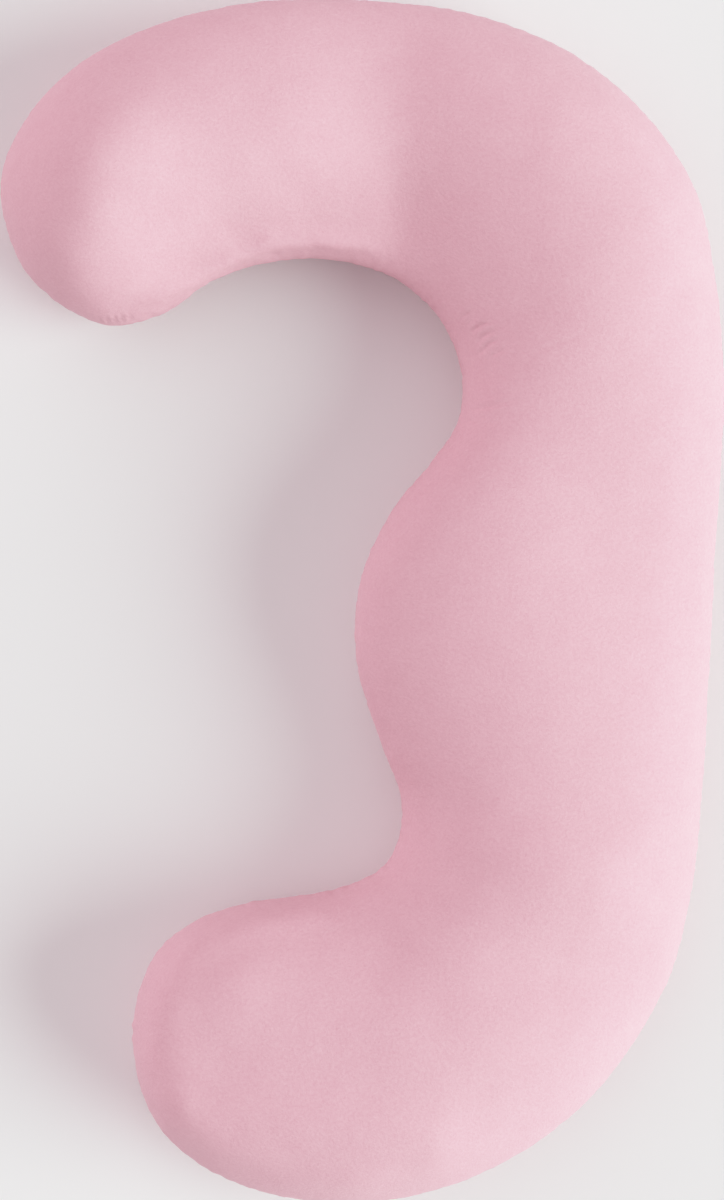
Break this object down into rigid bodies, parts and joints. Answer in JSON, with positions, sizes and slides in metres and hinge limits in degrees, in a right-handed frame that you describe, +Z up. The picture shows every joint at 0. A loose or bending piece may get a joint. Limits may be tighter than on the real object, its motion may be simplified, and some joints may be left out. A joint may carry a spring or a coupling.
{
  "type": "pregnancy pillow",
  "caption": "C-shaped stuffed body pillow with a belly bulge between a curled head arm and a thicker knee arm, in pink brushed jersey.",
  "frame": {"origin": "on the floor under the middle of the pillow as it lies on its back", "axes": "+Z up out of the pillow's face, +Y towards the head end, both arms point to -X"},
  "size_m": [0.7815, 1.3002, 0.2199],
  "materials": {
    "jersey": "matte brushed knit"
  },
  "bodies": {
    "root": {"pillow": "jersey"}
  },
  "joints": []
}
